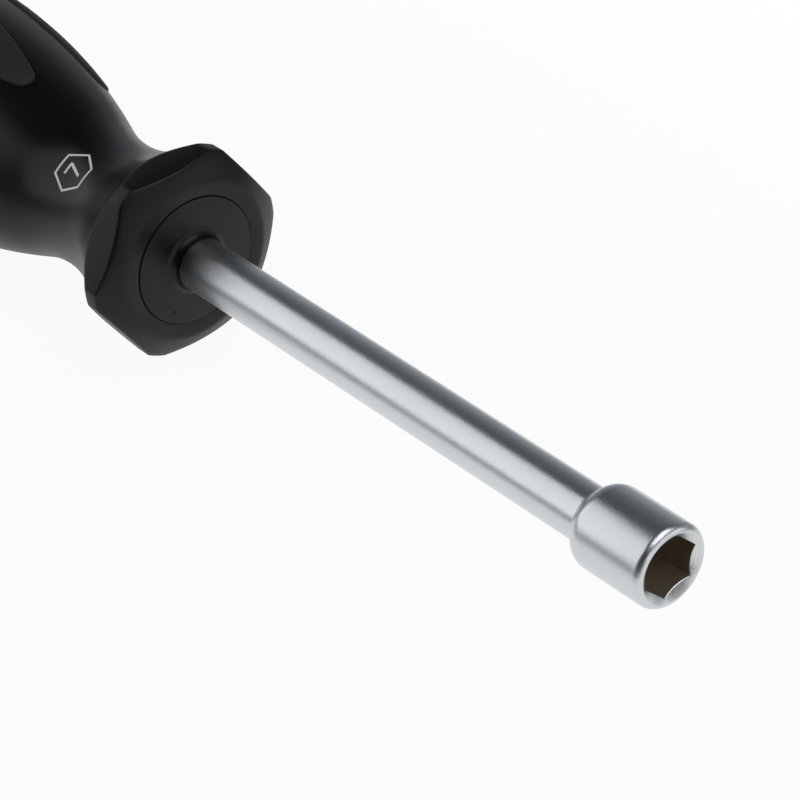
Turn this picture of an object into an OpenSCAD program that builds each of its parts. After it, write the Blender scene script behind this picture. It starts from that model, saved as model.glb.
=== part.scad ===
// Nut driver: a one-piece socket blade moulded into a handle with a hexagonal roll stop.
// It lies along X, with the centre of the socket mouth at the origin and +X out of the mouth.

/* [Socket] */
// Nut size across flats
nut_size = 7; // [5.5:0.5:8]
// Play of the recess over the nut size
nut_play = 0.1; // [0.05:0.05:0.3]
// Depth of the straight recess walls behind the mouth
recess_depth = 9.5; // [6:0.5:11]
// Turn of the recess corners from the collar corners, in degrees
recess_turn = 12.3; // [0:0.1:59.9]
// Diameter of the lead-in cone at the mouth
mouth_d = 9.4; // [8.8:0.1:9.6]
// Half angle of the lead-in cone, in degrees
mouth_angle = 54; // [45:1:60]
// Outer diameter of the socket head
head_d = 11; // [10.8:0.1:13]
// Distance from the mouth to the end of the head's straight side
head_length = 10.4; // [10:0.2:20]
// Radius of the rounded rim at the mouth
rim_round = 1.1; // [0.4:0.05:1.2]
// Radius of the head's rounded shoulder
shoulder_round = 2.7; // [2:0.1:4]
// Radius of the fillet between shoulder and shank
shoulder_fillet = 0.8; // [0.3:0.1:1.2]

/* [Blade] */
// Length of the blade from the mouth to the face of the collar
blade_length = 90; // [60:1:300]
// Diameter of the shank
shank_d = 7.2; // [6.4:0.1:7.4]
// Length of the tang inside the handle
tang_length = 62; // [56:1:75]
// Bevel at the end of the tang
tang_bevel = 1; // [0.2:0.1:2]
// Width across the two pressed wings of the tang
wing_span = 10.6; // [8:0.2:14]
// Thickness of the wings
wing_thickness = 3.2; // [2:0.1:5]
// Length of the wings along the tang
wing_length = 14; // [8:0.5:18]
// Distance from the collar face to the front end of the wings
wing_start = 38; // [32:1:40]

/* [Collar] */
// Width across the collar's flats
collar_flats = 26.6; // [24:0.1:28]
// Width across the collar's cut corners
collar_corners = 29.3; // [27:0.1:31]
// Diameter of the flat front face inside the chamfer
collar_face_d = 22.4; // [20:0.2:25]
// Radius of the domed chamfer round the front face
collar_dome = 25; // [20:0.5:40]

/* [Handle] */
// Length of the handle behind the collar face
handle_length = 105; // [98:1:120]
// Diameter of the neck at its waist
neck_d = 18.9; // [17:0.1:21]
// Distance from the collar face to the waist
neck_at = 19; // [16:0.5:22]
// Radius of the hollow curve of the neck
neck_radius = 23; // [20:0.5:27]
// Largest diameter of the grip
grip_d = 34; // [30:0.5:40]
// Distance from the collar face to the largest diameter
grip_at = 62; // [56:1:68]
// Radius of the long curve that closes in behind the largest diameter
tail_radius = 180; // [120:5:400]
// Radius that rounds the rear edge
edge_radius = 7; // [5:0.5:10]
// Radius of the crowned rear end
crown_radius = 40; // [28:1:80]

/* [Core] */
// Diameter of the core where it shows in the collar face
core_d = 18; // [15:0.5:20]
// Diameter of the core where it shows in the rear end
core_tail_d = 16; // [10:0.5:20]
// Thickness of the hard grip over the core
grip_wall = 3; // [2.4:0.1:3.6]
// Height of the ribs that key the core into the grip
rib_height = 1; // [0.4:0.1:1.6]
// Width of the ribs
rib_width = 3; // [1.5:0.1:4]
// Distance from the tips of the pads to the ends of the ribs
rib_inset = 2; // [0:0.5:8]

/* [Soft pads] */
// Distance from the collar face to the front tips of the pads
pad_front = 34; // [30:1:40]
// Distance from the rear tips of the pads to the rear end
pad_rear = 17; // [14:1:24]
// Width of a pad at its middle
pad_width = 11.5; // [8:0.5:13]
// Diameter of the rounded pad tips
pad_tip_d = 4; // [2:0.2:6]
// Depth of a pad below the surface of the grip
pad_depth = 1.6; // [1:0.1:2]
// Height of a pad above the surface of the grip
pad_proud = 0.3; // [0.1:0.05:0.8]

/* [Fit] */
// Gap left where one moulded piece meets the next
fit_gap = 0.05; // [0.02:0.01:0.1]

/* [Hidden] */
$fn = 128;
// Segments of the long arcs in the profiles
arc_fn = 720;

// Overrun of every cut past the face it opens
overrun = 1;
sides = 6;
side_angle = 360 / sides;
drill_half_angle = 59;

recess_af = nut_size + nut_play;
recess_corner_r = recess_af / 2 / cos(side_angle / 2);
mouth_r = mouth_d / 2;
head_r = head_d / 2;
shank_r = shank_d / 2;

// Centres of the arcs between head and shank, and the level where they meet
shoulder_centre = [head_r - shoulder_round, -head_length];
fillet_rise = shank_r + shoulder_fillet - shoulder_centre[0];
fillet_drop = sqrt(pow(shoulder_round + shoulder_fillet, 2) - pow(fillet_rise, 2));
fillet_centre = shoulder_centre + [fillet_rise, -fillet_drop];
shoulder_z = towards(shoulder_centre, shoulder_round, fillet_centre)[1];

// Centres of the arcs of the handle's half profile, as [radius from the axis, height]
neck_centre = [neck_d / 2 + neck_radius, -neck_at];
bulge_radius = tangent_bulge(grip_at - neck_at, neck_centre[0] - grip_d / 2, neck_radius);
bulge_centre = [grip_d / 2 - bulge_radius, -grip_at];
tail_centre = [grip_d / 2 - tail_radius, -grip_at];
crown_centre = [0, crown_radius - handle_length];
edge_centre = circles_meet(tail_centre, tail_radius - edge_radius,
                           crown_centre, crown_radius - edge_radius);

// Arcs of a pad's outline: the side arcs run into the tip circles
pad_length = handle_length - pad_front - pad_rear;
pad_at = pad_front + pad_length / 2;
rib_length = pad_length - 2 * rib_inset;
pad_tip_r = pad_tip_d / 2;
pad_tip_y = pad_length / 2 - pad_tip_r;
pad_side_radius = (pow(pad_width / 2, 2) + pow(pad_tip_y, 2) - pow(pad_tip_r, 2))
                  / (pad_width - pad_tip_d);
pad_side_x = pad_side_radius - pad_width / 2;

// Radius of the bulge that touches the neck's arc, with its largest radius at a set distance
function tangent_bulge(along, across, hollow) =
    (pow(along, 2) + pow(across, 2) - pow(hollow, 2)) / (2 * (hollow - across));

// Point on the first circle that lies towards the centre q
function towards(p, r, q) = p + r * (q - p) / norm(q - p);

// Point on the first circle that lies away from the centre q
function away(p, r, q) = p - r * (q - p) / norm(q - p);

// Meeting point of two circles that lies to the right of the way from p to q
function circles_meet(p, rp, q, rq) =
    let (d = norm(q - p),
         a = (rp * rp - rq * rq + d * d) / (2 * d),
         h = sqrt(rp * rp - a * a),
         u = (q - p) / d)
    p + a * u + h * [u[1], -u[0]];

// Turns a piece that stands along Z so that it lies along X
module lay() {
    rotate([0, 90, 0]) children();
}

// Moves a piece made at the collar face to its place behind the blade
module behind_blade() {
    translate([0, 0, -blade_length]) children();
}

// Half profile with a straight side
module straight_strip(r, low, high) {
    translate([0, low]) square([r, high - low]);
}

// Half profile that bulges outwards along a circle
module bulged_strip(centre, r, low, high) {
    if (centre[0] > 0) straight_strip(centre[0], low, high);
    intersection() {
        translate(centre) circle(r, $fn = arc_fn);
        straight_strip(centre[0] + r, low, high);
    }
}

// Half profile that is hollowed along a circle
module hollow_strip(centre, r, low, high) {
    difference() {
        straight_strip(centre[0], low, high);
        translate(centre) circle(r, $fn = arc_fn);
    }
}

// Half profile of the handle, moved outwards by grow: neck, bulge, tail, rear edge and crown,
// with a spine that ties the stretches together
module handle_profile(grow) {
    bulge_z = towards(neck_centre, neck_radius - grow, bulge_centre)[1];
    edge_z = away(edge_centre, edge_radius + grow, tail_centre)[1];
    crown_z = away(edge_centre, edge_radius + grow, crown_centre)[1];
    hollow_strip(neck_centre, neck_radius - grow, bulge_z, 0);
    bulged_strip(bulge_centre, bulge_radius + grow, -grip_at, bulge_z);
    bulged_strip(tail_centre, tail_radius + grow, edge_z, -grip_at);
    bulged_strip(edge_centre, edge_radius + grow, crown_z, edge_z);
    bulged_strip(crown_centre, crown_radius + grow, -handle_length - grow, crown_z);
    straight_strip(shank_r, (crown_z - handle_length - grow) / 2, 0);
}

// Solid of the handle's profile
module handle_solid(grow) {
    rotate_extrude() handle_profile(grow);
}

// Half profile of the blade from its rounded rim to the end of the tang; the shank's strip runs on
// through the head and ties the stretches together
module blade_profile() {
    tang_end = -blade_length - tang_length;
    bulged_strip([head_r - rim_round, -rim_round], rim_round, -rim_round, 0);
    straight_strip(head_r, -head_length, -rim_round);
    bulged_strip(shoulder_centre, shoulder_round, shoulder_z, -head_length);
    hollow_strip(fillet_centre, shoulder_fillet, fillet_centre[1], shoulder_z);
    straight_strip(shank_r, tang_end + tang_bevel, -rim_round);
    polygon([[0, tang_end], [shank_r - tang_bevel, tang_end], [shank_r, tang_end + tang_bevel],
             [0, tang_end + tang_bevel]]);
}

// Hexagonal recess with its lead-in cone and drilled bottom
module recess() {
    lead = mouth_r / tan(mouth_angle);
    drill_tip = recess_af / 2 / tan(drill_half_angle);
    translate([0, 0, -recess_depth]) rotate(side_angle / 2 + recess_turn)
        cylinder(h = recess_depth + overrun, r = recess_corner_r, $fn = sides);
    translate([0, 0, -recess_depth - drill_tip]) cylinder(h = drill_tip, r1 = 0, r2 = recess_af / 2);
    translate([0, 0, -lead])
        cylinder(h = lead + overrun, r1 = 0, r2 = mouth_r + overrun * tan(mouth_angle));
}

// Pair of wings pressed out of the tang, with sloping ends, grown all round
module wings(grow) {
    half = wing_span / 2 + grow;
    front = -wing_start + grow;
    rear = -wing_start - wing_length - grow;
    root = shank_r / 2;
    slope = wing_span / 2 - root;
    rotate([90, 0, 0]) linear_extrude(wing_thickness + 2 * grow, center = true)
        polygon([[-half, front], [-root, front + slope], [root, front + slope], [half, front],
                 [half, rear], [root, rear - slope], [-root, rear - slope], [-half, rear]]);
}

// Ribs along the core, under the hard strips between the pads
module core_ribs(grow) {
    intersection() {
        handle_solid(rib_height + grow - grip_wall);
        for (i = [0 : sides - 1])
            rotate(side_angle * (i + 1 / 2))
                translate([0, -rib_width / 2 - grow, -pad_at - rib_length / 2 - grow])
                    cube([grip_d / 2, rib_width + 2 * grow, rib_length + 2 * grow]);
    }
}

// Core of the handle, grown all round, with its ends run on past the handle's ends
module core_form(grow, run_on) {
    intersection() {
        handle_solid(grow - grip_wall);
        union() {
            translate([0, 0, -neck_at]) cylinder(h = neck_at, r = core_d / 2 + grow);
            translate([0, 0, -handle_length]) cylinder(h = handle_length - neck_at, r = grip_d / 2);
        }
    }
    core_ribs(grow);
    if (run_on > 0) cylinder(h = run_on, r = core_d / 2 + grow);
    translate([0, 0, -handle_length - run_on])
        cylinder(h = handle_length - grip_at + run_on, r = core_tail_d / 2 + grow);
}

// Nut-like front of the handle: hexagon with cut corners and a domed chamfer
module collar_form() {
    dome_depth = sqrt(pow(collar_dome, 2) - pow(collar_face_d / 2, 2));
    intersection() {
        translate([0, 0, -neck_at]) rotate(side_angle / 2)
            cylinder(h = neck_at, r = collar_flats / 2 / cos(side_angle / 2), $fn = sides);
        translate([0, 0, -neck_at]) cylinder(h = neck_at, d = collar_corners);
        translate([0, 0, -dome_depth]) sphere(collar_dome);
    }
}

// Leaf-shaped outline of a pad, grown all round
module pad_outline(grow) {
    touch_y = away([0, pad_tip_y], pad_tip_r + grow, [-pad_side_x, 0])[1];
    intersection() {
        intersection_for (side = [-1, 1])
            translate([side * pad_side_x, 0]) circle(pad_side_radius + grow, $fn = arc_fn);
        square([pad_width + 2 * overrun, 2 * touch_y], center = true);
    }
    for (end = [-1, 1]) translate([0, end * pad_tip_y]) circle(pad_tip_r + grow);
}

// Block of a pad's outline, from the axis out through the surface
module pad_block(place, grow) {
    rotate(side_angle * place) translate([0, 0, -pad_at]) rotate([90, 0, 90])
        linear_extrude(grip_d / 2 + pad_proud + overrun) pad_outline(grow);
}

// Socket head, shank and winged tang, forged as one piece
module blade() {
    color("silver") lay() {
        difference() {
            rotate_extrude() blade_profile();
            recess();
        }
        behind_blade() wings(0);
    }
}

// Hard core that is moulded round the tang and shows in the collar face and the rear end
module handle_core() {
    color([0.16, 0.16, 0.16]) lay() behind_blade() difference() {
        intersection() {
            core_form(0, 0);
            handle_solid(0);
        }
        translate([0, 0, -tang_length - fit_gap])
            cylinder(h = tang_length + fit_gap + overrun, r = shank_r + fit_gap);
        wings(fit_gap);
    }
}

// Hard grip with the hexagonal collar, the neck and the pockets for the pads
module grip_body() {
    color([0.1, 0.1, 0.11]) lay() behind_blade() difference() {
        intersection() {
            handle_solid(0);
            union() {
                collar_form();
                translate([0, 0, -handle_length])
                    cylinder(h = handle_length - neck_at, d = grip_d + overrun);
            }
        }
        core_form(fit_gap, overrun);
        for (i = [0 : sides - 1]) difference() {
            pad_block(i, fit_gap);
            handle_solid(-pad_depth - fit_gap);
        }
    }
}

// Soft pad set into the pocket at one of the places round the grip
module soft_pad(place) {
    color([0.2, 0.2, 0.21]) lay() behind_blade() difference() {
        intersection() {
            pad_block(place, 0);
            handle_solid(pad_proud);
        }
        handle_solid(-pad_depth);
    }
}

blade();
handle_core();
grip_body();
soft_pad(0);  // soft_pad_1
soft_pad(1);  // soft_pad_2
soft_pad(2);  // soft_pad_3
soft_pad(3);  // soft_pad_4
soft_pad(4);  // soft_pad_5
soft_pad(5);  // soft_pad_6
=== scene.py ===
"""Nut driver: a satin chrome socket blade in a black moulded handle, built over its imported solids."""

import math

import bmesh
import bpy
from bpy.props import FloatProperty, FloatVectorProperty, PointerProperty
from mathutils import Matrix, Vector
from mathutils.geometry import intersect_sphere_sphere_2d


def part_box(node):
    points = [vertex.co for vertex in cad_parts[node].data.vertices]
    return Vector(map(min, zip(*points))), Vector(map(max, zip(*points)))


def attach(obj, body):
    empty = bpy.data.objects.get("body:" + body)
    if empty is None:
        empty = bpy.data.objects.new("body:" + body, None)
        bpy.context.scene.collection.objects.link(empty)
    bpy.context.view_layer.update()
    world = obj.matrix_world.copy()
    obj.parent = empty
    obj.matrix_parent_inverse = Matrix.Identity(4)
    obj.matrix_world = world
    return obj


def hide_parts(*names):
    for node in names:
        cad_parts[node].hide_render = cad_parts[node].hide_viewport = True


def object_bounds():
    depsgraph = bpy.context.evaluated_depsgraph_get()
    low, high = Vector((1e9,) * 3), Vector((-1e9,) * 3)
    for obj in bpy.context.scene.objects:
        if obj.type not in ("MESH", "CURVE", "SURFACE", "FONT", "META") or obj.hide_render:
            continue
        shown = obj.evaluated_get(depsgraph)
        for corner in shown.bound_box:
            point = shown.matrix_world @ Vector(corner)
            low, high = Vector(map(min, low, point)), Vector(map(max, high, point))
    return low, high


bl_info = {
    "name": "Nut Driver",
    "version": (1, 0, 0),
    "blender": (4, 5, 0),
    "location": "View3D > Sidebar > Nut Driver",
    "description": "Builds a nut driver, piece by piece, over its packed solids",
    "category": "Object",
}

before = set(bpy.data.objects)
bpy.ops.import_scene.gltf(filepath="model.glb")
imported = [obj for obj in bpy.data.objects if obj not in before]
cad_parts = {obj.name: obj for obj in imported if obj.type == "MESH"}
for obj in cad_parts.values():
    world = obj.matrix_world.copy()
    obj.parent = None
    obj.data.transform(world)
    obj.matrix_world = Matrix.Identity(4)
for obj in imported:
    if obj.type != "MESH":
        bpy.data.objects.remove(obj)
CAD_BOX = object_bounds()
BLADE_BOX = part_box("blade")
CORE_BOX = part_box("handle_core")

MM = 0.001
SIDES = 6
SECTOR = math.tau / SIDES
SPIN_STEPS = 144
WELD = 0.001 * MM
SAME_TURN = 1e-6
SHARP = math.radians(40.0)
WHITE = (1.0, 1.0, 1.0, 1.0)


def length(name, description, default):
    """A length property, with its default in millimetres."""
    return FloatProperty(
        name=name, description=description, default=default * MM, min=0.0, precision=5, unit="LENGTH"
    )


def angle(name, description, degrees):
    """An angle property, with its default in degrees."""
    return FloatProperty(
        name=name, description=description, default=math.radians(degrees), subtype="ANGLE"
    )


def colour(name, description, default):
    """A colour property."""
    return FloatVectorProperty(
        name=name, description=description, default=default, size=3, min=0.0, max=1.0, subtype="COLOR"
    )


class BladeSizes(bpy.types.PropertyGroup):
    """Sizes of the socket head, the shank and the tang"""

    reach: length("Reach", "From the mouth to the face of the collar", -CORE_BOX[1].x / MM)
    tang: length("Tang", "Length inside the handle", (CORE_BOX[1].x - BLADE_BOX[0].x) / MM)
    tang_bevel: length("Tang Bevel", "Bevel at the end of the tang", 1.0)
    shank: length("Shank", "Diameter of the shank", 7.2)
    head: length("Head", "Outer diameter of the socket head", 11.0)
    head_length: length("Head Length", "From the mouth to the end of the head's straight side", 10.4)
    rim: length("Rim", "Radius of the rim at the mouth", 1.1)
    lip: length("Lip", "Radius from the rim into the lead-in cone", 0.2)
    shoulder: length("Shoulder", "Radius of the head's rounded shoulder", 2.7)
    fillet: length("Fillet", "Radius between shoulder and shank", 0.8)
    mouth: length("Mouth", "Diameter of the lead-in cone at the mouth", 9.4)
    lead: angle("Lead", "Half angle of the lead-in cone", 54.0)
    recess: length("Recess", "Width of the recess across its flats", 7.1)
    recess_depth: length("Recess Depth", "Depth of the straight recess walls", 9.5)
    recess_edge: length("Recess Edge", "Width of the bevel between cone and recess", 0.09)
    recess_turn: angle("Recess Turn", "Turn of the recess corners from straight down", 42.3)
    drill: length("Drill", "Diameter of the drilled end of the recess", 7.0)
    drill_point: angle("Drill Point", "Half angle of the drilled point", 59.0)


class HandleSizes(bpy.types.PropertyGroup):
    """Sizes of the collar, the neck, the grip and the core"""

    total: length("Length", "From the collar face to the rear end", (CORE_BOX[1].x - CORE_BOX[0].x) / MM)
    flats: length("Flats", "Width across the collar's flats", 26.6)
    corners: length("Corners", "Width across the collar's cut corners", 29.3)
    face: length("Face", "Diameter of the collar's flat front face", 22.4)
    dome: length("Dome", "Radius of the domed chamfer round the front face", 25.0)
    edge_break: length("Edge Break", "Width of the rounded edges of the collar", 0.28)
    face_break: length("Face Break", "Width of the rounded edge of the front face", 0.35)
    neck: length("Neck", "Diameter of the neck at its waist", 18.9)
    neck_at: length("Neck Place", "From the collar face to the waist", 19.0)
    neck_radius: length("Neck Radius", "Radius of the neck's hollow curve", 23.0)
    grip: length("Grip", "Largest diameter of the grip", 34.0)
    grip_at: length("Grip Place", "From the collar face to the largest diameter", 62.0)
    tail_radius: length("Tail Radius", "Radius of the long curve behind the largest diameter", 180.0)
    edge_radius: length("Edge Radius", "Radius of the rear edge", 7.0)
    crown_radius: length("Crown Radius", "Radius of the crowned rear end", 40.0)
    wall: length("Wall", "Thickness of the grip over the core", 3.0)
    core: length("Core", "Diameter of the core in the collar face", 18.0)
    core_tail: length("Core Tail", "Diameter of the core in the rear end", 16.0)
    seam: length("Seam", "Gap where one moulded piece meets the next", 0.05)
    seam_break: length("Seam Break", "Radius of the edges along a seam", 0.14)
    face_seam: length("Face Seam", "Radius of the collar's edge round the core", 0.18)
    core_step: length("Core Step", "Height of the core's face above the collar face", 0.1)
    core_fillet: length("Core Fillet", "Radius of the fillet that rises from the core to the shank", 1.3)
    core_lip: length("Core Lip", "Thickness of the fillet's edge against the shank", 0.08)
    collar_run: length("Collar Run", "From the collar's rear edge to where the neck is round", 0.8)
    gate: length("Gate", "From the axis to the moulding gate's mark on the core", 7.418)
    gate_turn: angle("Gate Turn", "Turn of the gate's mark from straight down", -38.32)


class PadSizes(bpy.types.PropertyGroup):
    """Sizes of the soft pads"""

    front: length("Front", "From the collar face to the front tips", 34.0)
    rear: length("Rear", "From the rear tips to the rear end of the handle", 17.0)
    width: length("Width", "Width of a pad at its middle", 11.5)
    tip: length("Tip", "Diameter of the rounded tips", 4.0)
    depth: length("Depth", "Depth below the surface of the grip", 1.6)
    proud: length("Proud", "Height above the surface of the grip", 0.3)
    edge: length("Edge", "Radius of the pad's top edge", 0.5)


class MarkSizes(bpy.types.PropertyGroup):
    """Sizes of the printed size mark on the neck"""

    place: length("Place", "From the collar face to the middle of the mark", 18.6)
    turn: angle("Turn", "Turn of the mark from straight down", -150.0)
    ring: length("Ring", "Radius of the hexagon round the figure", 3.0)
    figure: length("Figure", "Height of the figure", 2.7)
    half_width: length("Half Width", "Half of the width of the figure", 0.891)
    foot: length("Foot", "From the figure's middle to the foot of its leg", 0.432)
    stroke: length("Stroke", "Width of the printed lines", 0.36)
    leg: length("Leg", "Level width of the figure's leg", 0.432)
    ink: length("Ink", "Thickness of the print", 0.02)
    pitch: length("Pitch", "Size of the pieces that the print is cut into", 0.4)


class Finishes(bpy.types.PropertyGroup):
    """Colours of the finishes"""

    chrome: colour("Chrome", "Satin chrome of the blade", (0.635, 0.66, 0.68))
    lead: colour("Lead-in", "Turned steel of the lead-in cone", (0.7, 0.71, 0.71))
    recess: colour("Recess", "Bare steel inside the recess", (0.235, 0.18, 0.115))
    grip: colour("Grip", "Hard plastic of the grip", (0.003, 0.0029, 0.0035))
    core: colour("Core", "Hard plastic of the core", (0.003, 0.003, 0.0031))
    pad: colour("Pad", "Soft plastic of the pads", (0.012, 0.012, 0.0125))
    print_ink: colour("Print", "Ink of the size mark", (0.78, 0.79, 0.80))


class StageSettings(bpy.types.PropertyGroup):
    """Camera and floor"""

    aim: FloatVectorProperty(
        name="Aim",
        description="Point that the camera looks at",
        default=(-33.814 * MM, -10.372 * MM, 12.639 * MM),
        subtype="XYZ",
        unit="LENGTH",
    )
    distance: length("Distance", "From the camera to the point that it looks at", 390.0)
    azimuth: angle("Azimuth", "Turn of the camera round the object", 54.868)
    elevation: angle("Elevation", "Height of the camera above the horizon", 37.696)
    roll: angle("Roll", "Roll of the camera", -8.0)
    lens: FloatProperty(name="Lens", description="Focal length", default=151.47, unit="CAMERA")
    sensor: length("Sensor", "Width of the camera's sensor", 36.0)
    clip: length("Clip", "Nearest distance that the camera shows", 10.0)
    floor: length("Floor", "Width of the floor", 4000.0)
    floor_gap: length("Floor Gap", "From the floor up to the lowest point of the tool", 0.1)


def around(x, radius, turn):
    """A point at a radius from the handle's axis, turned from straight down."""
    return Vector((x, radius * math.sin(turn), -radius * math.cos(turn)))


def arc(centre, radius, start, end, steps):
    """Points of an arc as (distance back, radius), with angles from the outward direction."""
    points = []
    for i in range(steps + 1):
        q = start + (end - start) * i / steps
        points.append((centre[0] + radius * math.sin(q), centre[1] + radius * math.cos(q)))
    return points


def heading(start, end):
    """Angle from one point of a profile to another, from the outward direction."""
    return math.atan2(end[0] - start[0], end[1] - start[1])


def handle_centres(sizes):
    """Centres and radii of the arcs of the handle's profile."""
    neck = (sizes.neck_at, sizes.neck / 2 + sizes.neck_radius)
    along = sizes.grip_at - sizes.neck_at
    across = neck[1] - sizes.grip / 2
    bulge_radius = (along**2 + across**2 - sizes.neck_radius**2) / (2 * (sizes.neck_radius - across))
    bulge = (sizes.grip_at, sizes.grip / 2 - bulge_radius)
    tail = (sizes.grip_at, sizes.grip / 2 - sizes.tail_radius)
    crown = (sizes.total - sizes.crown_radius, 0.0)
    meets = intersect_sphere_sphere_2d(
        tail, sizes.tail_radius - sizes.edge_radius, crown, sizes.crown_radius - sizes.edge_radius
    )
    edge = tuple(max(meets, key=lambda p: p[0]))
    return neck, bulge, bulge_radius, tail, edge, crown


def handle_line(sizes, grow, first, last, fineness):
    """Profile of the handle moved outwards by grow, from a distance back to a radius in the crown."""
    neck, bulge, bulge_radius, tail, edge, crown = handle_centres(sizes)
    hollow = sizes.neck_radius - grow
    crowned = sizes.crown_radius + grow
    # Centre, radius, start, end and steps of each arc
    runs = (
        (neck, hollow, math.pi - math.asin((first - neck[0]) / hollow), heading(neck, bulge), 10),
        (bulge, bulge_radius + grow, heading(bulge, neck), 0.0, 12),
        (tail, sizes.tail_radius + grow, 0.0, heading(tail, edge), 9),
        (edge, sizes.edge_radius + grow, heading(tail, edge), heading(crown, edge), 6),
        (crown, crowned, heading(crown, edge), math.acos(last / crowned), 4),
    )
    points = []
    for centre, radius, start, end, steps in runs:
        points += arc(centre, radius, start, end, steps * fineness)[1 if points else 0 :]
    return points


def handle_radius(sizes, back, lift):
    """Radius of the handle's surface, moved outwards by lift, between the waist and the rear edge."""
    neck, bulge, bulge_radius, tail = handle_centres(sizes)[:4]
    hollow = sizes.neck_radius - lift
    if back < neck[0] + hollow * math.sin(heading(neck, bulge)):
        return neck[1] - math.sqrt(hollow**2 - (back - neck[0]) ** 2)
    if back < bulge[0]:
        return bulge[1] + math.sqrt((bulge_radius + lift) ** 2 - (back - bulge[0]) ** 2)
    return tail[1] + math.sqrt((sizes.tail_radius + lift) ** 2 - (back - tail[0]) ** 2)


def neck_start(sizes, radius, inset):
    """Distance back at which the neck's curve, moved inwards by inset, comes down to a radius."""
    back, middle = handle_centres(sizes)[0]
    return back - math.sqrt((sizes.neck_radius + inset) ** 2 - (middle - radius) ** 2)


def crown_back(sizes, radius):
    """Distance back of the crowned rear end at a radius."""
    return sizes.total - sizes.crown_radius + math.sqrt(sizes.crown_radius**2 - radius**2)


def spin_line(bm, line, front, turn):
    """Spins a profile of (distance back, radius) round the axis and merges its poles."""
    verts = [bm.verts.new(around(front - back, radius, turn)) for back, radius in line]
    edges = [bm.edges.new(pair) for pair in zip(verts, verts[1:])]
    bmesh.ops.spin(
        bm, geom=verts + edges, axis=(1, 0, 0), angle=math.tau, steps=SPIN_STEPS, use_merge=True
    )
    bmesh.ops.remove_doubles(bm, verts=bm.verts, dist=WELD)


def loop_edges(bm, loop):
    """Edges of a closed loop of vertices."""
    return [bm.edges.get(pair) for pair in zip(loop, loop[1:] + loop[:1])]


def next_ring(bm, loop, places):
    """Extrudes a closed loop of vertices and puts each new vertex at its place."""
    made = bmesh.ops.extrude_edge_only(bm, edges=loop_edges(bm, loop))["geom"]
    made = {v for v in made if isinstance(v, bmesh.types.BMVert)}
    ring = []
    for vert, place in zip(loop, places):
        twin = next(e.other_vert(vert) for e in vert.link_edges if e.other_vert(vert) in made)
        twin.co = place
        ring.append(twin)
    return ring


def first_ring(bm, places):
    """Closed loop of vertices at the given places."""
    ring = bmesh.ops.create_circle(bm, segments=len(places), radius=1.0)["verts"]
    for vert, place in zip(ring, places):
        vert.co = place
    return ring


def round_edges(bm, edges, width, segments, clamp):
    """Bevels edges to a rounded band and returns its faces."""
    return bmesh.ops.bevel(
        bm,
        geom=edges,
        offset=width,
        offset_type="OFFSET",
        affect="EDGES",
        segments=segments,
        profile=0.5,
        material=-1,
        clamp_overlap=clamp,
    )["faces"]


def mesh_object(bm, name):
    """Turns a mesh under construction into an object in the scene."""
    mesh = bpy.data.meshes.new(name)
    bm.to_mesh(mesh)
    bm.free()
    made = bpy.data.objects.new(name, mesh)
    bpy.context.scene.collection.objects.link(made)
    return made


def finish_piece(bm, name, materials, nodes, sharp=SHARP):
    """Turns a closed mesh into a piece that rides on the tool and stands for its CAD nodes."""
    bmesh.ops.recalc_face_normals(bm, faces=bm.faces)
    open_edges = [e for e in bm.edges if not e.is_manifold]
    if open_edges:
        raise RuntimeError(f"{name} isn't closed: {len(open_edges)} open edges")
    piece = mesh_object(bm, name)
    for material in materials:
        piece.data.materials.append(material)
    piece.data.shade_smooth()
    piece.data.set_sharp_from_angle(angle=sharp)
    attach(piece, "root")
    if nodes:
        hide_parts(*nodes)
    return piece


def carve(piece, cutters):
    """Cuts the cutters out of a piece and takes them away."""
    for cutter in cutters:
        cut = piece.modifiers.new(cutter.name, "BOOLEAN")
        cut.operation = "DIFFERENCE"
        cut.solver = "EXACT"
        cut.object = cutter
    bpy.context.view_layer.update()
    carved = bpy.data.meshes.new_from_object(piece.evaluated_get(bpy.context.evaluated_depsgraph_get()))
    piece.modifiers.clear()
    old, piece.data = piece.data, carved
    carved.name = piece.name
    bpy.data.meshes.remove(old)
    for cutter in cutters:
        block = cutter.data
        bpy.data.objects.remove(cutter)
        bpy.data.meshes.remove(block)


def new_group(name, inputs, outputs):
    """Shader node group with its sockets, and its input and output nodes."""
    group = bpy.data.node_groups.new(name, "ShaderNodeTree")
    for socket, kind, default in inputs:
        made = group.interface.new_socket(name=socket, in_out="INPUT", socket_type=kind)
        made.default_value = default
    for socket, kind in outputs:
        group.interface.new_socket(name=socket, in_out="OUTPUT", socket_type=kind)
    return group, group.nodes.new("NodeGroupInput"), group.nodes.new("NodeGroupOutput")


def object_place(tree):
    """Object coordinates of the surface."""
    return tree.nodes.new("ShaderNodeTexCoord").outputs["Object"]


def split(tree, vector):
    """X, Y and Z of a vector."""
    apart = tree.nodes.new("ShaderNodeSeparateXYZ")
    tree.links.new(vector, apart.inputs["Vector"])
    return apart.outputs


def map_range(tree, value, span, result=(0.0, 1.0), smooth=True):
    """Brings a value from one span to another and holds it there."""
    made = tree.nodes.new("ShaderNodeMapRange")
    if smooth:
        made.interpolation_type = "SMOOTHSTEP"
    made.inputs["From Min"].default_value, made.inputs["From Max"].default_value = span
    made.inputs["To Min"].default_value, made.inputs["To Max"].default_value = result
    tree.links.new(value, made.inputs["Value"])
    return made.outputs["Result"]


def object_noise(tree, scale, detail, roughness):
    """Noise on Object coordinates, with its scale from a socket."""
    noise = tree.nodes.new("ShaderNodeTexNoise")
    tree.links.new(object_place(tree), noise.inputs["Vector"])
    tree.links.new(scale, noise.inputs["Scale"])
    noise.inputs["Detail"].default_value = detail
    noise.inputs["Roughness"].default_value = roughness
    return noise.outputs["Fac"]


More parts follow.
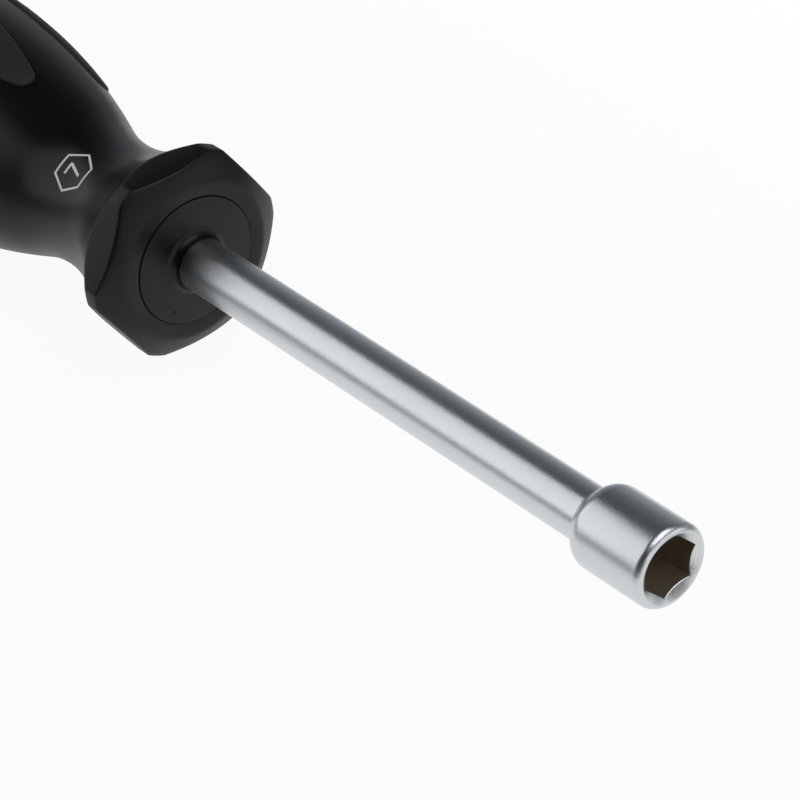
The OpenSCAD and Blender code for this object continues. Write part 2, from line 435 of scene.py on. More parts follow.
def handling_group():
    """Soft patches of handling: a value that drifts between low and high over the surface."""
    group = bpy.data.node_groups.get("Handling")
    if group:
        return group
    group, start, end = new_group(
        "Handling",
        (
            ("Scale", "NodeSocketFloat", 60.0),
            ("Low", "NodeSocketFloat", 0.3),
            ("High", "NodeSocketFloat", 0.4),
        ),
        (("Value", "NodeSocketFloat"),),
    )
    noise = object_noise(group, start.outputs["Scale"], detail=4.0, roughness=0.55)
    drift = map_range(group, noise, span=(0.3, 0.7), smooth=False)
    group.links.new(start.outputs["Low"], drift.node.inputs["To Min"])
    group.links.new(start.outputs["High"], drift.node.inputs["To Max"])
    group.links.new(drift, end.inputs["Value"])
    return group


def tone_group():
    """Fine mottling between a colour and its shade."""
    group = bpy.data.node_groups.get("Tone")
    if group:
        return group
    group, start, end = new_group(
        "Tone",
        (
            ("Scale", "NodeSocketFloat", 300.0),
            ("Color", "NodeSocketColor", (0.5, 0.5, 0.5, 1.0)),
            ("Shade", "NodeSocketColor", (0.4, 0.4, 0.4, 1.0)),
        ),
        (("Color", "NodeSocketColor"),),
    )
    noise = object_noise(group, start.outputs["Scale"], detail=5.0, roughness=0.6)
    mix = group.nodes.new("ShaderNodeMix")
    mix.data_type = "RGBA"
    group.links.new(noise, mix.inputs["Factor"])
    group.links.new(start.outputs["Color"], mix.inputs["A"])
    group.links.new(start.outputs["Shade"], mix.inputs["B"])
    group.links.new(mix.outputs["Result"], end.inputs["Color"])
    return group


def grain_group():
    """Height of a fine grain: the pebbles of a mould face or the tooth of a blasted surface."""
    group = bpy.data.node_groups.get("Grain")
    if group:
        return group
    group, start, end = new_group(
        "Grain", (("Scale", "NodeSocketFloat", 2500.0),), (("Height", "NodeSocketFloat"),)
    )
    noise = object_noise(group, start.outputs["Scale"], detail=2.0, roughness=0.5)
    group.links.new(noise, end.inputs["Height"])
    return group


def new_finish(name, tint, shade, tone_scale, rough, grain_scale, grain_depth):
    """Principled material with mottled colour, drifting roughness and a fine grain."""
    material = bpy.data.materials.new(name)
    material.use_nodes = True
    tree = material.node_tree
    shader = tree.nodes["Principled BSDF"]
    tone = tree.nodes.new("ShaderNodeGroup")
    tone.node_tree = tone_group()
    tone.inputs["Scale"].default_value = tone_scale
    tone.inputs["Color"].default_value = (*tint, 1.0)
    tone.inputs["Shade"].default_value = (*(c * shade for c in tint), 1.0)
    tree.links.new(tone.outputs["Color"], shader.inputs["Base Color"])
    handling = tree.nodes.new("ShaderNodeGroup")
    handling.node_tree = handling_group()
    handling.inputs["Low"].default_value, handling.inputs["High"].default_value = rough
    tree.links.new(handling.outputs["Value"], shader.inputs["Roughness"])
    grain = tree.nodes.new("ShaderNodeGroup")
    grain.node_tree = grain_group()
    grain.inputs["Scale"].default_value = grain_scale
    bump = tree.nodes.new("ShaderNodeBump")
    bump.inputs["Strength"].default_value = 1.0
    bump.inputs["Distance"].default_value = grain_depth
    tree.links.new(grain.outputs["Height"], bump.inputs["Height"])
    tree.links.new(bump.outputs["Normal"], shader.inputs["Normal"])
    return material, tree, shader


def scale_along(tree, shader, socket, start, end, shares):
    """Scales the colour or roughness along the axis, by one share at start and the other at end."""
    along = map_range(tree, split(tree, object_place(tree))["X"], (start, end), shares)
    scaled = tree.nodes.new("ShaderNodeVectorMath")
    scaled.operation = "SCALE"
    tree.links.new(shader.inputs[socket].links[0].from_socket, scaled.inputs["Vector"])
    tree.links.new(along, scaled.inputs["Scale"])
    tree.links.new(scaled.outputs["Vector"], shader.inputs[socket])


def spot(tree, shader, socket, centre, inner, outer, value):
    """Gives a round place on the surface a colour or roughness of its own, fading out at its edge."""
    apart = tree.nodes.new("ShaderNodeVectorMath")
    apart.operation = "DISTANCE"
    apart.inputs[1].default_value = centre
    tree.links.new(object_place(tree), apart.inputs[0])
    fade = map_range(tree, apart.outputs["Value"], (inner, outer))
    mix = tree.nodes.new("ShaderNodeMix")
    mix.data_type = "FLOAT" if socket == "Roughness" else "RGBA"
    mix.inputs["A"].default_value = value
    tree.links.new(fade, mix.inputs["Factor"])
    tree.links.new(shader.inputs[socket].links[0].from_socket, mix.inputs["B"])
    tree.links.new(mix.outputs["Result"], shader.inputs[socket])


def chrome_finish(tint, front):
    """Satin chrome of the blade, a little duller where it enters the handle."""
    material, tree, shader = new_finish(
        "bright_satin",
        tint,
        shade=0.93,
        tone_scale=900.0,
        rough=(0.27, 0.32),
        grain_scale=2600.0,
        grain_depth=0.017 * MM,
    )
    shader.inputs["Metallic"].default_value = 1.0
    duller, dullest = front + 16.0 * MM, front + 2.0 * MM
    scale_along(tree, shader, "Roughness", start=duller, end=dullest, shares=(1.0, 1.15))
    return material


def lead_finish(tint):
    """Grainy turned steel of the lead-in cone, with painted shade on a darker place low down."""
    material, tree, shader = new_finish(
        "turned_steel",
        tint,
        shade=0.75,
        tone_scale=5000.0,
        rough=(0.24, 0.3),
        grain_scale=5000.0,
        grain_depth=0.03 * MM,
    )
    shader.inputs["Metallic"].default_value = 1.0
    # Painted shade: the colour darkens round a place low on the cone.
    shaded_place, dark = Vector((-0.4, 0.7, -4.0)) * MM, (0.36, 0.36, 0.36, 1.0)
    spot(tree, shader, "Base Color", centre=shaded_place, inner=0.6 * MM, outer=2.6 * MM, value=dark)
    return material


def recess_finish(tint):
    """Bare brown steel inside the recess, with painted light: darker near the mouth and brighter deeper
    in.
    """
    material, tree, shader = new_finish(
        "recess_steel",
        tint,
        shade=0.85,
        tone_scale=700.0,
        rough=(0.5, 0.6),
        grain_scale=2500.0,
        grain_depth=0.005 * MM,
    )
    shader.inputs["Metallic"].default_value = 0.35
    # Painted light and shade: the colour darkens near the mouth and brightens deep inside.
    scale_along(tree, shader, "Base Color", start=-1.0 * MM, end=-6.0 * MM, shares=(0.6, 1.45))
    return material


def black_plastic(name, tint):
    """Hard black plastic with the satin of an eroded mould."""
    material, tree, shader = new_finish(
        name,
        tint,
        shade=0.8,
        tone_scale=500.0,
        rough=(0.34, 0.4),
        grain_scale=2600.0,
        grain_depth=0.01 * MM,
    )
    shader.inputs["Specular IOR Level"].default_value = 0.27
    return material, tree, shader


def grip_finish(tint, front):
    """Hard plastic of the grip: satin on the collar, glossier along the neck and the barrel."""
    material, tree, shader = black_plastic("hard_plastic", tint)
    satin, glossy = front - 5.0 * MM, front - 9.0 * MM
    scale_along(tree, shader, "Roughness", start=satin, end=glossy, shares=(1.0, 0.75))
    return material


def core_finish(tint, gate):
    """Hard plastic of the core, with the small dull mark of its moulding gate."""
    material, tree, shader = black_plastic("insert_plastic", tint)
    spot(tree, shader, "Roughness", centre=gate, inner=0.08 * MM, outer=0.32 * MM, value=1.0)
    return material


def pad_finish(tint):
    """Matt soft plastic of the pads."""
    return new_finish(
        "soft_plastic",
        tint,
        shade=0.75,
        tone_scale=800.0,
        rough=(0.62, 0.74),
        grain_scale=2200.0,
        grain_depth=0.03 * MM,
    )[0]


def ink_finish(tint):
    """White print of the size mark."""
    return new_finish(
        "print_ink",
        tint,
        shade=0.9,
        tone_scale=1500.0,
        rough=(0.4, 0.5),
        grain_scale=4000.0,
        grain_depth=0.003 * MM,
    )[0]


def off_flat(turn):
    """Turn from the middle of the nearest flat of a hexagon."""
    return (turn + SECTOR / 2) % SECTOR - SECTOR / 2


def hexagon_radius(flats, turn):
    """Radius of a hexagon, turned from the middle of one of its flats."""
    return flats / 2 / math.cos(off_flat(turn))


def lip_centre(sizes, rim, mouth):
    """Centre of the lip's arc, which runs from the rim's arc into the lead-in cone."""
    out = Vector((math.sin(sizes.lead), math.cos(sizes.lead)))
    along = Vector((math.cos(sizes.lead), -math.sin(sizes.lead)))
    gap = mouth * out.y + sizes.lip - out.dot(rim)
    return Vector(rim) + out * gap - along * math.sqrt((sizes.rim - sizes.lip) ** 2 - gap**2)


class NUTDRIVER_OT_blade(bpy.types.Operator):
    """Builds the blade: socket head with its recess, shank and tang"""

    bl_idname = "nut_driver.blade"
    bl_label = "Blade"

    def execute(self, context):
        sizes = context.scene.nut_driver_blade
        finishes = context.scene.nut_driver_finishes
        head, shank, mouth = sizes.head / 2, sizes.shank / 2, sizes.mouth / 2
        end = sizes.reach + sizes.tang
        shoulder = (sizes.head_length, head - sizes.shoulder)
        rise = shank + sizes.fillet - shoulder[1]
        drop = math.sqrt((sizes.shoulder + sizes.fillet) ** 2 - rise**2)
        fillet = (shoulder[0] + drop, shoulder[1] + rise)
        rim = (sizes.rim, head - sizes.rim)
        lip = lip_centre(sizes, rim, mouth)
        line = [(end, 0.0), (end, shank - sizes.tang_bevel), (end - sizes.tang_bevel, shank)]
        line += arc(fillet, sizes.fillet, math.pi, math.tau + heading(fillet, shoulder), steps=6)
        line += arc(shoulder, sizes.shoulder, heading(shoulder, fillet), 0.0, steps=12)[1:]
        line += arc(rim, sizes.rim, 0.0, heading(rim, lip), steps=12)
        line += arc(lip, sizes.lip, heading(rim, lip), sizes.lead - math.pi, steps=6)[1:]

        bm = bmesh.new()
        spin_line(bm, line, 0.0, sizes.recess_turn)
        cone = [v for v in bm.verts if v.is_boundary]
        cone.sort(key=lambda v: math.atan2(v.co.y, -v.co.z))
        turns = [math.atan2(v.co.y, -v.co.z) for v in cone]
        walls = [hexagon_radius(sizes.recess, a - sizes.recess_turn - SECTOR / 2) for a in turns]
        drill = sizes.drill / 2
        deep = -sizes.recess_depth
        slope = 1 / math.tan(sizes.lead)
        outside = set(bm.faces)
        edge = next_ring(bm, cone, [around((r - mouth) * slope, r, a) for r, a in zip(walls, turns)])
        leading = set(bm.faces)
        floor = next_ring(bm, edge, [around(deep, r, a) for r, a in zip(walls, turns)])
        floor = next_ring(bm, floor, [around(deep, drill, a) for a in turns])
        point = Vector((deep - drill / math.tan(sizes.drill_point), 0.0, 0.0))
        next_ring(bm, floor, [point] * len(turns))
        bmesh.ops.remove_doubles(bm, verts=bm.verts, dist=WELD)
        for face in bm.faces:
            face.material_index = 0 if face in outside else 1 if face in leading else 2
        for face in round_edges(bm, loop_edges(bm, edge), sizes.recess_edge, segments=2, clamp=False):
            face.material_index = 0
        finish_piece(
            bm,
            "socket_blade",
            [
                chrome_finish(finishes.chrome, -sizes.reach),
                lead_finish(finishes.lead),
                recess_finish(finishes.recess),
            ],
            ["blade"],
        )
        return {"FINISHED"}


class NUTDRIVER_OT_core(bpy.types.Operator):
    """Builds the core that shows in the collar face and in the rear end"""

    bl_idname = "nut_driver.core"
    bl_label = "Core"

    def execute(self, context):
        blade = context.scene.nut_driver_blade
        sizes = context.scene.nut_driver_handle
        front = -blade.reach
        bore = blade.shank / 2 + sizes.seam
        deep = blade.tang + sizes.seam
        nose, stub, soft = sizes.core / 2, sizes.core_tail / 2, sizes.seam_break
        leaves = neck_start(sizes, nose, sizes.wall)
        crown = handle_centres(sizes)[-1]
        step, fillet, lip = sizes.core_step, sizes.core_fillet, sizes.core_lip
        line = [(deep, 0.0), (deep, bore), (-step - fillet, bore)]
        line += arc((-step - fillet, bore + lip + fillet), fillet, math.pi, math.pi / 2, steps=10)
        line += arc((-step / 2, nose - step / 2), step / 2, -math.pi / 2, 0.0, steps=4)
        line += handle_line(sizes, -sizes.wall, leaves, stub, fineness=1)
        line += arc((crown_back(sizes, stub) - soft, stub - soft), soft, 0.0, math.pi / 3, steps=3)
        end = math.acos((stub - 2 * soft) / sizes.crown_radius)
        line += arc(crown, sizes.crown_radius, end, math.pi / 2, steps=8)

        bm = bmesh.new()
        spin_line(bm, line, front, 0.0)
        gate = around(front + step, sizes.gate, sizes.gate_turn)
        finish = core_finish(context.scene.nut_driver_finishes.core, gate)
        sharp = math.radians(30.0)
        finish_piece(bm, "core", [finish], ["handle_core"], sharp)
        return {"FINISHED"}


def corner_turn(sizes):
    """Turn from the middle of a flat of the collar to its edge with a cut corner."""
    return math.acos(sizes.flats / sizes.corners)


def collar_columns(sizes, flat_steps=16, corner_steps=4):
    """Angles of the grip's columns, with one at each edge between a flat and a cut corner."""
    edge = corner_turn(sizes)
    half = [edge * i / flat_steps for i in range(flat_steps)]
    half += [edge + (SECTOR / 2 - edge) * i / corner_steps for i in range(corner_steps)]
    sector = half + [SECTOR - a for a in reversed(half[1:])]
    sector.insert(len(half), SECTOR / 2)
    return [SECTOR * k + a for k in range(SIDES) for a in sector]


def leaf_outline(sizes, total, grow, side_steps, tip_steps):
    """Closed outline of a pad as (along, across), moved outwards by grow, from one side's front end."""
    tip = sizes.tip / 2
    reach = (total - sizes.front - sizes.rear) / 2 - tip
    bend = ((sizes.width / 2) ** 2 + reach**2 - tip**2) / (sizes.width - sizes.tip)
    shift = bend - sizes.width / 2
    touch = math.atan2(reach, shift)
    points = []
    for way in (1.0, -1.0):
        side = arc((0.0, -shift), bend + grow, -touch, touch, side_steps)[:-1]
        nose = arc((reach, 0.0), tip + grow, touch, math.pi - touch, tip_steps)[:-1]
        points += [(way * a, way * b) for a, b in side + nose]
    return points


def leaf_block(bm, pads, handle, front, turn, grow, low, high, edge):
    """Closed leaf-shaped block on the handle's surface, from low to high, with a rounded top edge."""
    side_steps, tip_steps, end, edge_steps = 44, 12, 6, 4
    around_end = (tip_steps - end) // 2
    run = side_steps + 2 * around_end
    middle = (pads.front + handle.total - pads.rear) / 2
    out = Vector((0.0, math.sin(turn), -math.cos(turn)))
    across = Vector((0.0, math.cos(turn), math.sin(turn)))

    def outline(more):
        points = leaf_outline(pads, handle.total, grow + more, side_steps, tip_steps)
        return points[-around_end:] + points[:-around_end]

    def place(point, lift):
        back = middle + point[0]
        radius = handle_radius(handle, back, lift)
        height = math.sqrt(radius**2 - point[1] ** 2)
        return Vector((front - back, 0.0, 0.0)) + out * height + across * point[1]

    def sheet(points, lift):
        """Grid whose border follows the outline; returns its border in the outline's order."""
        upper, far = points[: run + 1], points[run : run + end + 1]
        lower = points[run + end : 2 * run + end + 1][::-1]
        near = (points[2 * run + end :] + points[:1])[::-1]
        made = bmesh.ops.create_grid(bm, x_segments=run, y_segments=end, size=1.0)["verts"]
        cells = {}
        for vert in made:
            i = round((vert.co.x + 1) / 2 * run)
            j = round((1 - vert.co.y) / 2 * end)
            cells[i, j] = vert
        for (i, j), vert in cells.items():
            u, v = i / run, j / end
            point = []
            for k in (0, 1):
                rails = (1 - v) * upper[i][k] + v * lower[i][k]
                ends = (1 - u) * near[j][k] + u * far[j][k]
                tips = (1 - v) * ((1 - u) * upper[0][k] + u * upper[-1][k])
                tips += v * ((1 - u) * lower[0][k] + u * lower[-1][k])
                point.append(rails + ends - tips)
            vert.co = place(point, lift)
        border = [cells[i, 0] for i in range(run)] + [cells[run, j] for j in range(end)]
        border += [cells[i, end] for i in range(run, 0, -1)] + [cells[0, j] for j in range(end, 0, -1)]
        return border

    rim = sheet(outline(-edge), high)
    for i in range(edge_steps if edge else 0):
        q = math.pi / 2 * (i + 1) / edge_steps
        lift = high - edge * (1 - math.cos(q))
        rim = next_ring(bm, rim, [place(p, lift) for p in outline(edge * (math.sin(q) - 1))])
    next_ring(bm, rim, [place(p, low) for p in outline(0.0)])
    sheet(outline(0.0), low)
    bmesh.ops.remove_doubles(bm, verts=bm.verts, dist=WELD)


class NUTDRIVER_OT_grip(bpy.types.Operator):
    """Builds the hard grip: hexagonal collar, neck and barrel with the pockets for the pads"""

    bl_idname = "nut_driver.grip"
    bl_label = "Grip"

    def execute(self, context):
        sizes = context.scene.nut_driver_handle
        pads = context.scene.nut_driver_pads
        front = -context.scene.nut_driver_blade.reach
        columns = collar_columns(sizes)
        soft = sizes.seam_break
        nose = sizes.core / 2 + sizes.seam
        stub = sizes.core_tail / 2 + sizes.seam
        face = sizes.face / 2
        sides = [min(hexagon_radius(sizes.flats, a), sizes.corners / 2) for a in columns]
        flares = [neck_start(sizes, r, 0.0) for r in sides]

        def dome(radius):
            return math.sqrt(sizes.dome**2 - face**2) - math.sqrt(sizes.dome**2 - radius**2)

        def level(back, radius):
            return [around(front - back, radius, a) for a in columns]

        def shaped(radii, backs):
            return [around(front - b, r, a) for b, r, a in zip(backs, radii, columns)]

        bm = bmesh.new()
        blend = sizes.face_seam
        seam = arc((blend, nose + blend), blend, math.pi, 1.5 * math.pi, steps=4)
        ring = first_ring(bm, level(*seam[0]))
        for back, radius in seam[1:]:
            ring = next_ring(bm, ring, level(back, radius))
        ring = face_edge = next_ring(bm, ring, level(0.0, face))
        for share in (1 / 3, 2 / 3):
            radii = [face + (r - face) * share for r in sides]
            ring = next_ring(bm, ring, shaped(radii, [dome(r) for r in radii]))
        ring = front_edge = next_ring(bm, ring, shaped(sides, [dome(r) for r in sides]))
        ring = rear_edge = next_ring(bm, ring, shaped(sides, flares))
        clear = neck_start(sizes, sizes.flats / 2, 0.0) + sizes.collar_run
        backs = [(b + clear) / 2 for b in flares]
        radii = [handle_radius(sizes, b, 0.0) for b in backs]
        ring = next_ring(bm, ring, shaped(radii, backs))
        for back, radius in handle_line(sizes, 0.0, clear, stub + soft, fineness=2):
            ring = next_ring(bm, ring, level(back, radius))
        ring = next_ring(bm, ring, level(crown_back(sizes, stub) - soft, stub))
        inset = sizes.wall - sizes.seam
        bore = handle_line(sizes, -inset, neck_start(sizes, nose, inset), stub, fineness=1)
        for back, radius in reversed(bore):
            ring = next_ring(bm, ring, level(back, radius))
        next_ring(bm, ring, level(*seam[0]))
        bmesh.ops.remove_doubles(bm, verts=bm.verts, dist=WELD)

        posts = [
            bm.edges.get((front_edge[i], rear_edge[i]))
            for i, a in enumerate(columns)
            if abs(abs(off_flat(a)) - corner_turn(sizes)) < SAME_TURN
        ]
        rims = loop_edges(bm, front_edge) + loop_edges(bm, rear_edge) + posts
        for edges, width in ((rims, sizes.edge_break), (loop_edges(bm, face_edge), sizes.face_break)):
            round_edges(bm, edges, width, segments=3, clamp=True)
        finish = grip_finish(context.scene.nut_driver_finishes.grip, front)
        piece = finish_piece(bm, "grip", [finish], ["grip_body"])

        cutters = []
        low, high = -pads.depth - sizes.seam, 4 * pads.proud
        for i in range(SIDES):
            bm = bmesh.new()
            leaf_block(bm, pads, sizes, front, SECTOR * i, sizes.seam, low, high, 0.0)
            bmesh.ops.recalc_face_normals(bm, faces=bm.faces)
            cutters.append(mesh_object(bm, f"pocket_{i + 1}"))
        carve(piece, cutters)
        piece.data.set_sharp_from_angle(angle=SHARP)
        return {"FINISHED"}


class NUTDRIVER_OT_pads(bpy.types.Operator):
    """Builds the six soft pads in their pockets"""

    bl_idname = "nut_driver.pads"
    bl_label = "Soft Pads"

    def execute(self, context):
        handle = context.scene.nut_driver_handle
        pads = context.scene.nut_driver_pads
        front = -context.scene.nut_driver_blade.reach
        finish = pad_finish(context.scene.nut_driver_finishes.pad)
        for i in range(SIDES):
            bm = bmesh.new()
            leaf_block(bm, pads, handle, front, SECTOR * i, 0.0, -pads.depth, pads.proud, pads.edge)
            finish_piece(bm, f"pad_{i + 1}", [finish], [f"soft_pad_{i + 1}"])
        return {"FINISHED"}


def slice_up(bm, reach, pitch):
    """Cuts a flat print into small faces along and across, so that it can be wrapped."""
    count = math.ceil(reach / pitch)
    for normal in (Vector((1.0, 0.0, 0.0)), Vector((0.0, 1.0, 0.0))):
        for i in range(-count, count + 1):
            geom = bm.verts[:] + bm.edges[:] + bm.faces[:]
            bmesh.ops.bisect_plane(bm, geom=geom, plane_co=normal * pitch * i, plane_no=normal)


class NUTDRIVER_OT_size_mark(bpy.types.Operator):
    """Prints the plain size figure in a hexagon on the neck"""

    bl_idname = "nut_driver.size_mark"
    bl_label = "Size Mark"

    def execute(self, context):
        handle = context.scene.nut_driver_handle
        sizes = context.scene.nut_driver_mark
        front = -context.scene.nut_driver_blade.reach
        line = sizes.stroke
        bm = bmesh.new()
        turn = Matrix.Rotation(SECTOR / 2, 4, "Z")
        bmesh.ops.create_circle(
            bm, cap_ends=True, segments=SIDES, radius=sizes.ring + line / 2, matrix=turn
        )
        inner = bm.faces[:]
        bmesh.ops.inset_individual(bm, faces=inner, thickness=line)
        bmesh.ops.delete(bm, geom=inner, context="FACES_ONLY")
        tall, wide, foot = sizes.figure / 2, sizes.half_width, -sizes.foot
        crook = [(wide, tall - line), (wide - sizes.leg, tall - line)]
        bar = [(-wide, tall - line), (-wide, tall), (wide, tall)] + crook
        leg = crook[::-1] + [(foot + sizes.leg, -tall), (foot, -tall)]
        for corners in (bar, leg):
            bm.faces.new([bm.verts.new((x, y, 0.0)) for x, y in corners])
        bmesh.ops.remove_doubles(bm, verts=bm.verts, dist=WELD)
        slice_up(bm, sizes.ring + line, sizes.pitch)
        bmesh.ops.recalc_face_normals(bm, faces=bm.faces)
        sheet = bm.faces[:]
        top = bmesh.ops.extrude_face_region(bm, geom=sheet, use_keep_orig=True)["geom"]
        top = {v for v in top if isinstance(v, bmesh.types.BMVert)}
        for vert in bm.verts:
            lift = sizes.ink if vert in top else -sizes.ink
            back = sizes.place + vert.co.y
            radius = handle_radius(handle, back, lift)
            vert.co = around(front - back, radius, sizes.turn - vert.co.x / radius)
        finish = ink_finish(context.scene.nut_driver_finishes.print_ink)
        finish_piece(bm, "size_mark", [finish], [])
        return {"FINISHED"}


# Soft lamps round the tool: azimuth from +X, elevation, distance, width, height and radiance
LAMPS = (
    ("side_softbox", -143.0, 33.0, 0.9, 1.0, 0.9, 0.99),
    ("front_card", 15.0, 10.0, 0.7, 1.3, 0.45, 0.95),
    ("front_softbox", 25.0, 64.0, 0.8, 0.82, 0.62, 1.7),
)
LAMP_AIM = Vector((-30.0, 0.0, 0.0)) * MM
FLOOR_MIDDLE = -100.0 * MM

# Grey of the studio over the height of a direction, its tint, and the side that is paler
SKY = ((0.0, 0.5), (0.1, 0.36), (0.3, 0.22), (0.55, 0.13), (0.75, 0.06), (1.0, 0.06))
SKY_TINT = (0.92, 1.0, 1.08)
FAR_SIDE = (-0.8, 0.6, 0.0)


def lamp(name, azimuth, elevation, distance, width, height, radiance):
    """Soft lamp of a set radiance, aimed at the blade."""
    data = bpy.data.lights.new(name, "AREA")
    data.shape = "RECTANGLE"
    data.size, data.size_y = width, height
    data.energy = radiance * math.pi * width * height
    light = bpy.data.objects.new(name, data)
    light.visible_camera = False
    flat = math.radians(azimuth)
    rise = math.radians(elevation)
    out = Vector((math.cos(rise) * math.cos(flat), math.cos(rise) * math.sin(flat), math.sin(rise)))
    place = Matrix.Translation(LAMP_AIM + out * distance)
    light.matrix_world = place @ out.to_track_quat("Z", "Y").to_matrix().to_4x4()
    bpy.context.scene.collection.objects.link(light)


def studio_world(scene):
    """Dim studio behind the lamps: paler at the far horizon, dark overhead, white to the camera."""
    world = bpy.data.worlds.new("studio")
    world.use_nodes = True
    scene.world = world
    tree = world.node_tree
    tree.nodes.clear()
    direction = tree.nodes.new("ShaderNodeTexCoord").outputs["Generated"]
    ramp = tree.nodes.new("ShaderNodeValToRGB")
    while len(ramp.color_ramp.elements) < len(SKY):
        ramp.color_ramp.elements.new(0.5)
    for element, (position, value) in zip(ramp.color_ramp.elements, SKY):
        element.position = position
        element.color = (*(value * share for share in SKY_TINT), 1.0)
    back = tree.nodes.new("ShaderNodeVectorMath")
    back.operation = "DOT_PRODUCT"
    back.inputs[1].default_value = FAR_SIDE
    surround = tree.nodes.new("ShaderNodeBackground")
    white = tree.nodes.new("ShaderNodeBackground")
    white.inputs["Color"].default_value = WHITE
    path = tree.nodes.new("ShaderNodeLightPath")
    mix = tree.nodes.new("ShaderNodeMixShader")
    output = tree.nodes.new("ShaderNodeOutputWorld")
    tree.links.new(split(tree, direction)["Z"], ramp.inputs["Fac"])
    tree.links.new(direction, back.inputs[0])
    side = map_range(tree, back.outputs["Value"], span=(-0.75, 0.05), result=(0.2, 1.0))
    tree.links.new(ramp.outputs["Color"], surround.inputs["Color"])
    tree.links.new(side, surround.inputs["Strength"])
    tree.links.new(path.outputs["Is Camera Ray"], mix.inputs["Fac"])
    tree.links.new(surround.outputs["Background"], mix.inputs[1])
    tree.links.new(white.outputs["Background"], mix.inputs[2])
    tree.links.new(mix.outputs["Shader"], output.inputs["Surface"])


def floor_finish():
    """Pale floor, white to the camera and in the metal, that keeps a soft shadow near the tool. Painted
    shade darkens its colour away from the tool, and a painted shadow halves its brightness in the metal
    under the handle.
    """
    material = bpy.data.materials.new("white_floor")
    material.use_nodes = True
    tree = material.node_tree
    tree.nodes.clear()

    def calculate(operation, first, second):
        made = tree.nodes.new("ShaderNodeMath")
        made.operation = operation
        for socket, value in zip(made.inputs, (first, second)):
            if isinstance(value, (int, float)):
                socket.default_value = value
            else:
                tree.links.new(value, socket)
        return made.outputs["Value"]

    place = split(tree, object_place(tree))
    near = map_range(tree, calculate("ABSOLUTE", place["Y"], 0.0), span=(0.13, 0.04))
    # Painted shadow under the handle: the metal sees the floor there at half brightness.
    under = map_range(tree, place["X"], span=(-0.115, -0.085), result=(0.5, 1.0))
    # Painted shade: away from the tool the floor's colour darkens, most in front of the tip.
    away = map_range(tree, place["X"], span=(0.03, -0.05), result=(0.25, 0.6), smooth=False)
    # Colour near the tool, how much of the shadow the camera sees, and how bright the metal sees it
    pale, shadow, mirror = (0.95, 0.95, 0.95, 1.0), 0.06, 0.92
    tone = tree.nodes.new("ShaderNodeMix")
    tone.data_type = "RGBA"
    tone.inputs["B"].default_value = pale
    tree.links.new(near, tone.inputs["Factor"])
    tree.links.new(away, tone.inputs["A"])
    matt = tree.nodes.new("ShaderNodeBsdfDiffuse")
    tree.links.new(tone.outputs["Result"], matt.inputs["Color"])
    glow = tree.nodes.new("ShaderNodeEmission")
    glow.inputs["Color"].default_value = WHITE
    path = tree.nodes.new("ShaderNodeLightPath")
    straight = calculate("MAXIMUM", path.outputs["Is Camera Ray"], path.outputs["Is Transmission Ray"])
    clear = calculate("SUBTRACT", 1.0, calculate("MULTIPLY", near, shadow))
    seen = calculate("MULTIPLY", straight, clear)
    # Painted light: in the metal the floor glows white near the tool and fades away from it, dimmed by
    # the painted shadow under the handle.
    bright = calculate("MULTIPLY", calculate("MULTIPLY", near, mirror), under)
    mirrored = calculate("MULTIPLY", path.outputs["Is Glossy Ray"], bright)
    mix = tree.nodes.new("ShaderNodeMixShader")
    tree.links.new(calculate("MAXIMUM", seen, mirrored), mix.inputs["Fac"])
    tree.links.new(matt.outputs["BSDF"], mix.inputs[1])
    tree.links.new(glow.outputs["Emission"], mix.inputs[2])
    output = tree.nodes.new("ShaderNodeOutputMaterial")
    tree.links.new(mix.outputs["Shader"], output.inputs["Surface"])
    return material


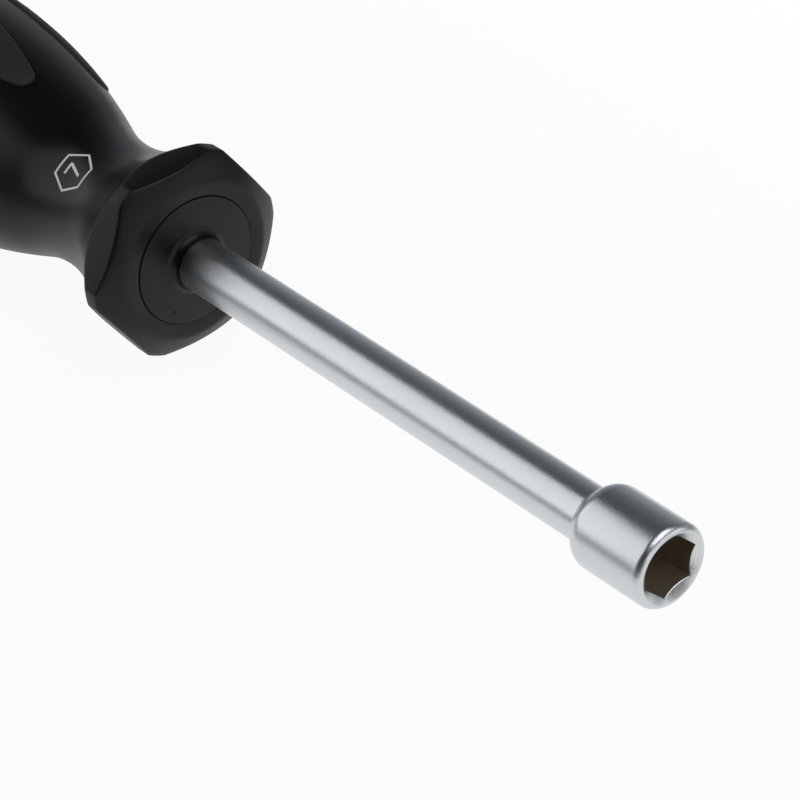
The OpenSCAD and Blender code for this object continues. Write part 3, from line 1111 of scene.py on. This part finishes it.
class NUTDRIVER_OT_stage(bpy.types.Operator):
    """Sets up the floor, the soft light and the camera"""

    bl_idname = "nut_driver.stage"
    bl_label = "Stage"

    def execute(self, context):
        scene = context.scene
        stage = scene.nut_driver_stage
        scene.view_settings.view_transform = "Standard"

        bm = bmesh.new()
        bmesh.ops.create_grid(bm, x_segments=8, y_segments=8, size=stage.floor / 2)
        bmesh.ops.translate(bm, verts=bm.verts, vec=(FLOOR_MIDDLE, 0.0, CAD_BOX[0].z - stage.floor_gap))
        floor = mesh_object(bm, "floor")
        floor.data.materials.append(floor_finish())

        studio_world(scene)
        for settings in LAMPS:
            lamp(*settings)

        out = Vector(
            (
                math.sin(stage.azimuth) * math.cos(stage.elevation),
                -math.cos(stage.azimuth) * math.cos(stage.elevation),
                math.sin(stage.elevation),
            )
        )
        aim = Vector(stage.aim)
        turn = out.to_track_quat("Z", "Y").to_matrix().to_4x4()
        data = bpy.data.cameras.new("camera")
        data.lens = stage.lens
        data.sensor_width = stage.sensor / MM
        data.clip_start = stage.clip
        camera = bpy.data.objects.new("camera", data)
        camera.matrix_world = (
            Matrix.Translation(aim + out * stage.distance) @ turn @ Matrix.Rotation(stage.roll, 4, "Z")
        )
        scene.collection.objects.link(camera)
        scene.camera = camera
        return {"FINISHED"}


class NUTDRIVER_PT_build(bpy.types.Panel):
    """Lists the pieces of the nut driver"""

    bl_idname = "NUTDRIVER_PT_build"
    bl_label = "Nut Driver"
    bl_space_type = "VIEW_3D"
    bl_region_type = "UI"
    bl_category = "Nut Driver"

    def draw(self, context):
        for operator in OPERATORS:
            self.layout.operator(operator.bl_idname)


GROUPS = (
    ("nut_driver_blade", BladeSizes),
    ("nut_driver_handle", HandleSizes),
    ("nut_driver_pads", PadSizes),
    ("nut_driver_mark", MarkSizes),
    ("nut_driver_finishes", Finishes),
    ("nut_driver_stage", StageSettings),
)
OPERATORS = (
    NUTDRIVER_OT_blade,
    NUTDRIVER_OT_core,
    NUTDRIVER_OT_grip,
    NUTDRIVER_OT_pads,
    NUTDRIVER_OT_size_mark,
    NUTDRIVER_OT_stage,
)


def register():
    for name, group in GROUPS:
        bpy.utils.register_class(group)
        setattr(bpy.types.Scene, name, PointerProperty(type=group))
    for cls in (*OPERATORS, NUTDRIVER_PT_build):
        bpy.utils.register_class(cls)


def unregister():
    for cls in (NUTDRIVER_PT_build, *reversed(OPERATORS)):
        bpy.utils.unregister_class(cls)
    for name, group in reversed(GROUPS):
        delattr(bpy.types.Scene, name)
        bpy.utils.unregister_class(group)


def main():
    register()
    bpy.ops.nut_driver.blade()
    bpy.ops.nut_driver.core()
    bpy.ops.nut_driver.grip()
    bpy.ops.nut_driver.pads()
    bpy.ops.nut_driver.size_mark()
    bpy.ops.nut_driver.stage()


if __name__ == "__main__":
    main()
